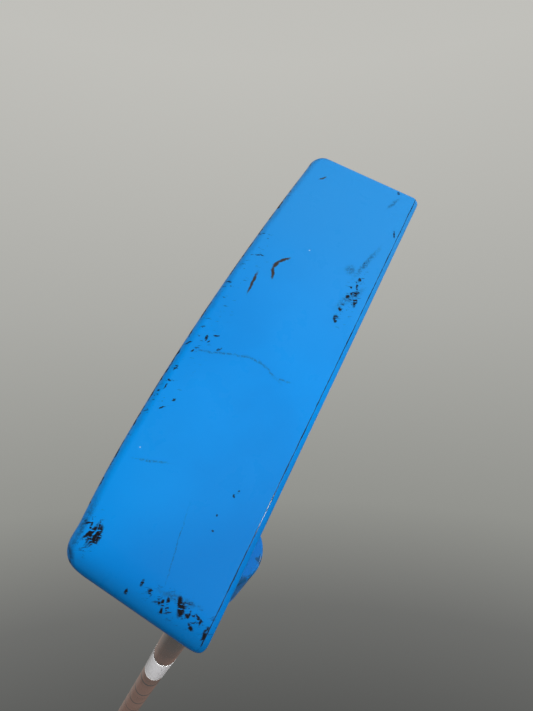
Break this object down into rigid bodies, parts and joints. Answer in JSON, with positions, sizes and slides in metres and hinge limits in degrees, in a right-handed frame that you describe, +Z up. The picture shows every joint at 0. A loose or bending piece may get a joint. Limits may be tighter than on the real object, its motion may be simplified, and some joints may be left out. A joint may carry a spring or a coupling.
{
  "type": "golf putter",
  "caption": "Right-handed blade putter with a painted cast head, a bowed back edge, a short overhanging hosel, a stepped plated steel shaft and a flat-fronted rubber grip.",
  "frame": {"origin": "middle of the flat sole of the head, in the plane of the ground", "axes": "+X from the heel to the toe of the head, +Y towards the target (the way the face looks), +Z up; the shaft leans towards the player, along -X"},
  "size_m": [0.3862, 0.0432, 0.8204],
  "materials": {
    "head_paint": "gloss sky-blue paint over a black base coat, chipped and scratched at the edges",
    "sight_paint": "white paint fill",
    "shaft_plating": "bright plated steel tube",
    "plug_plastic": "moulded",
    "glue": "cured glue",
    "label_paper": "plain white label, slightly worn",
    "grip_tape": "double-sided paper tape",
    "grip_rubber": "moulded black rubber with a fine pattern"
  },
  "bodies": {
    "root": {"putter_head": "head_paint", "sight_line": "sight_paint", "shaft": "shaft_plating", "tip_plug": "plug_plastic", "hosel_glue": "glue", "shaft_label": "label_paper", "grip_tape": "grip_tape", "grip": "grip_rubber", "grip_cap": "grip_rubber"}
  },
  "joints": []
}
